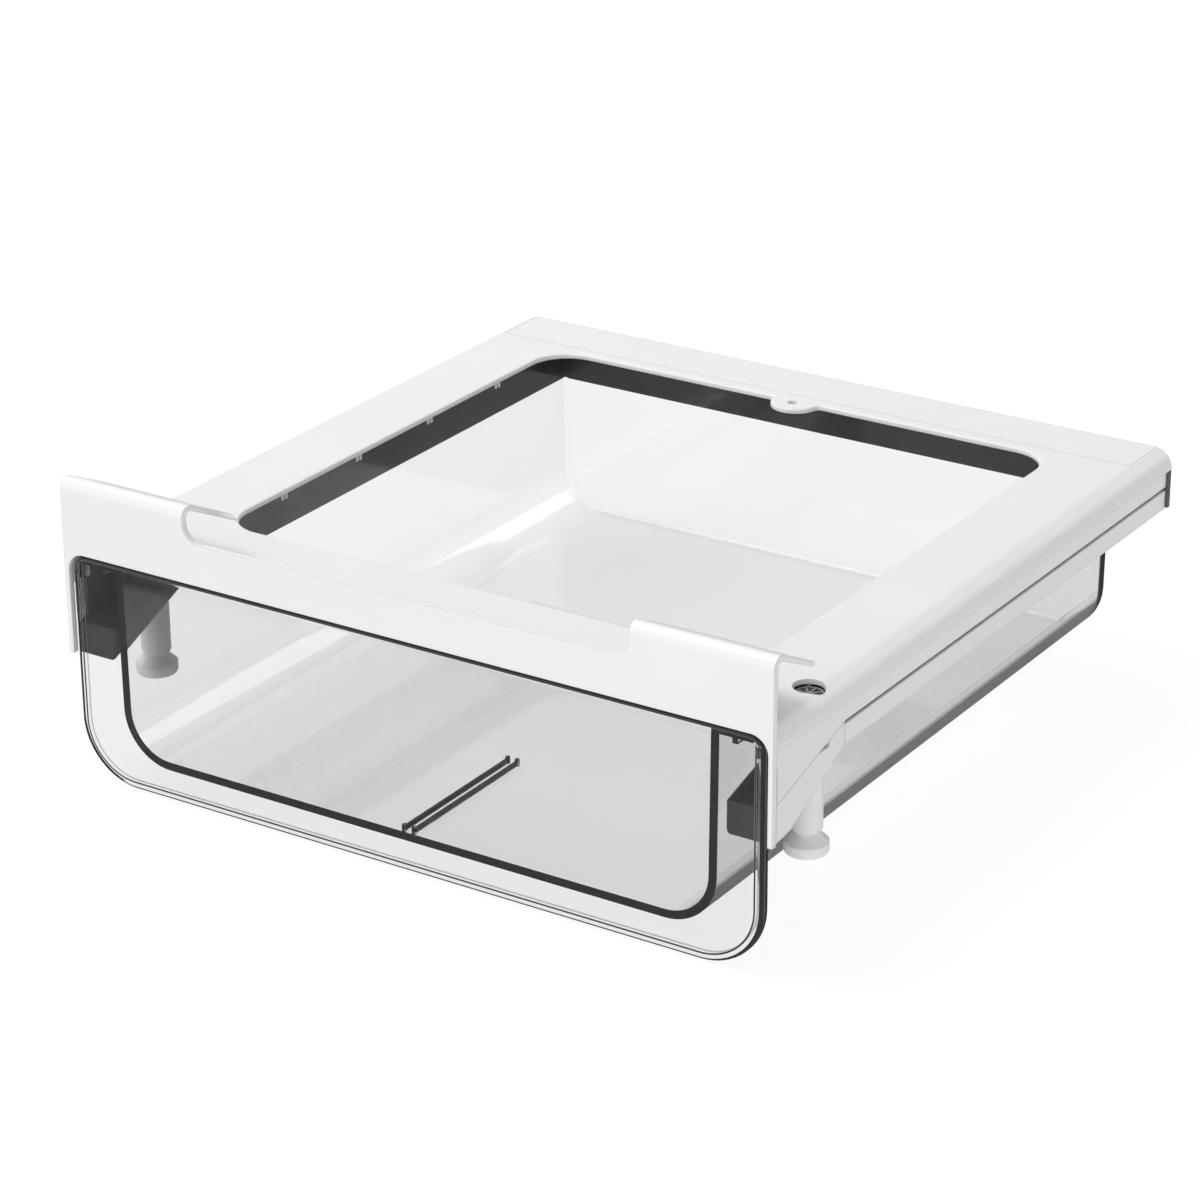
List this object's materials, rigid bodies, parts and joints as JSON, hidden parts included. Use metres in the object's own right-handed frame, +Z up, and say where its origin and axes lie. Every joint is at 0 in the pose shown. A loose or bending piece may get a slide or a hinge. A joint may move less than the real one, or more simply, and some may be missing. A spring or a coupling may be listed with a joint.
{
  "type": "fridge drawer organizer",
  "caption": "Under-shelf fridge drawer: a white frame hooks over and clamps to a shelf's front edge and carries a clear sliding drawer.",
  "frame": {"origin": "middle of the corner where the plate's top meets the fascia's back, against which a shelf's front edge stops", "axes": "+X to the right seen from the front, +Y towards the rear of the fridge, +Z up; the drawer opens along -Y"},
  "size_m": [0.301, 0.3018, 0.1179],
  "materials": {
    "white_plastic": "smooth white ABS, satin",
    "dark_plastic": "dark grey ABS, fine grain",
    "clear_plastic": "clear polystyrene, polished",
    "clamp_plastic": "white nylon, satin",
    "pad_plastic": "grey nylon, satin",
    "screw_steel": "zinc-plated"
  },
  "bodies": {
    "frame": {"top_frame": "white_plastic", "front_fascia": "white_plastic", "rear_cover": "white_plastic", "side_skirt_left": "white_plastic", "side_skirt_right": "white_plastic", "brace_cover_left": "white_plastic", "brace_cover_right": "white_plastic", "rear_wall": "dark_plastic", "slide_rail_left": "dark_plastic", "slide_rail_right": "dark_plastic", "front_brace_left": "dark_plastic", "front_brace_right": "dark_plastic", "frame_screws": "screw_steel"},
    "drawer": {"drawer_box": "clear_plastic", "drawer_front_panel": "clear_plastic"},
    "pad_left": {"clamp_pad_left": "pad_plastic"},
    "pad_right": {"clamp_pad_right": "pad_plastic"},
    "screw_left": {"clamp_screw_left": "clamp_plastic"},
    "screw_right": {"clamp_screw_right": "clamp_plastic"}
  },
  "joints": [
    {"name": "drawer_slide", "type": "slide", "parent": "frame", "child": "drawer", "axis": [0, -1, 0], "range_m": [0, 0.25]},
    {"name": "pad_lift_left", "type": "slide", "parent": "frame", "child": "pad_left", "axis": [0, 0, 1], "range_m": [0, 0.0121]},
    {"name": "pad_lift_right", "type": "slide", "parent": "frame", "child": "pad_right", "axis": [0, 0, 1], "range_m": [0, 0.0121]},
    {"name": "screw_turn_left", "type": "hinge", "parent": "pad_left", "child": "screw_left", "pos_m": [-0.1412, 0.0359, -0.03], "axis": [0, 0, 1], "range_deg": [0, 1080]},
    {"name": "screw_turn_right", "type": "hinge", "parent": "pad_right", "child": "screw_right", "pos_m": [0.1412, 0.0359, -0.03], "axis": [0, 0, 1], "range_deg": [0, 1080]}
  ],
  "couplings": [
    {"joint": "pad_lift_left", "follows": "screw_turn_left", "m_per_rad": 0.00063662},
    {"joint": "pad_lift_right", "follows": "screw_turn_right", "m_per_rad": 0.00063662}
  ]
}
